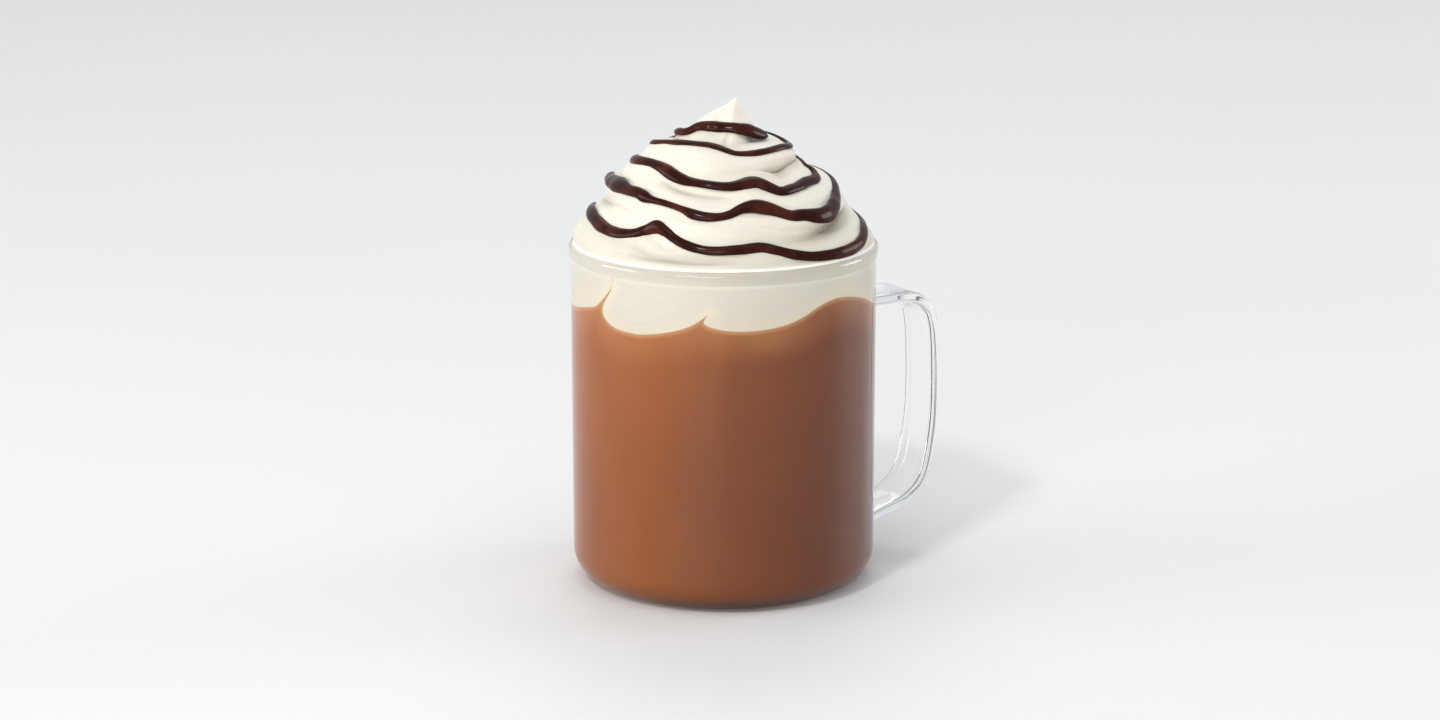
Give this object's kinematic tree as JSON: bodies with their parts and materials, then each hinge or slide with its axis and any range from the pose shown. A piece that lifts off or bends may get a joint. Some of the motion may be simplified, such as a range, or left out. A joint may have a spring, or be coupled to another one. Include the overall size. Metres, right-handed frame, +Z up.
{
  "type": "hot chocolate in a glass mug",
  "caption": "Hot chocolate in a straight clear glass mug with a strap handle, under a tall swirl of whipped cream with chocolate drizzle.",
  "frame": {"origin": "on the mug's axis, in the plane that it stands on", "axes": "+Z up along the mug's axis, +X towards the handle"},
  "size_m": [0.1102, 0.0852, 0.1345],
  "materials": {
    "glass": "clear, polished",
    "drink": "opaque milky brown liquid, wet",
    "cream": "soft, slightly satin whipped cream",
    "drizzle": "thick glossy dark chocolate sauce"
  },
  "bodies": {
    "root": {"glass_mug": "glass", "hot_chocolate": "drink", "whipped_cream": "cream"}
  },
  "joints": []
}
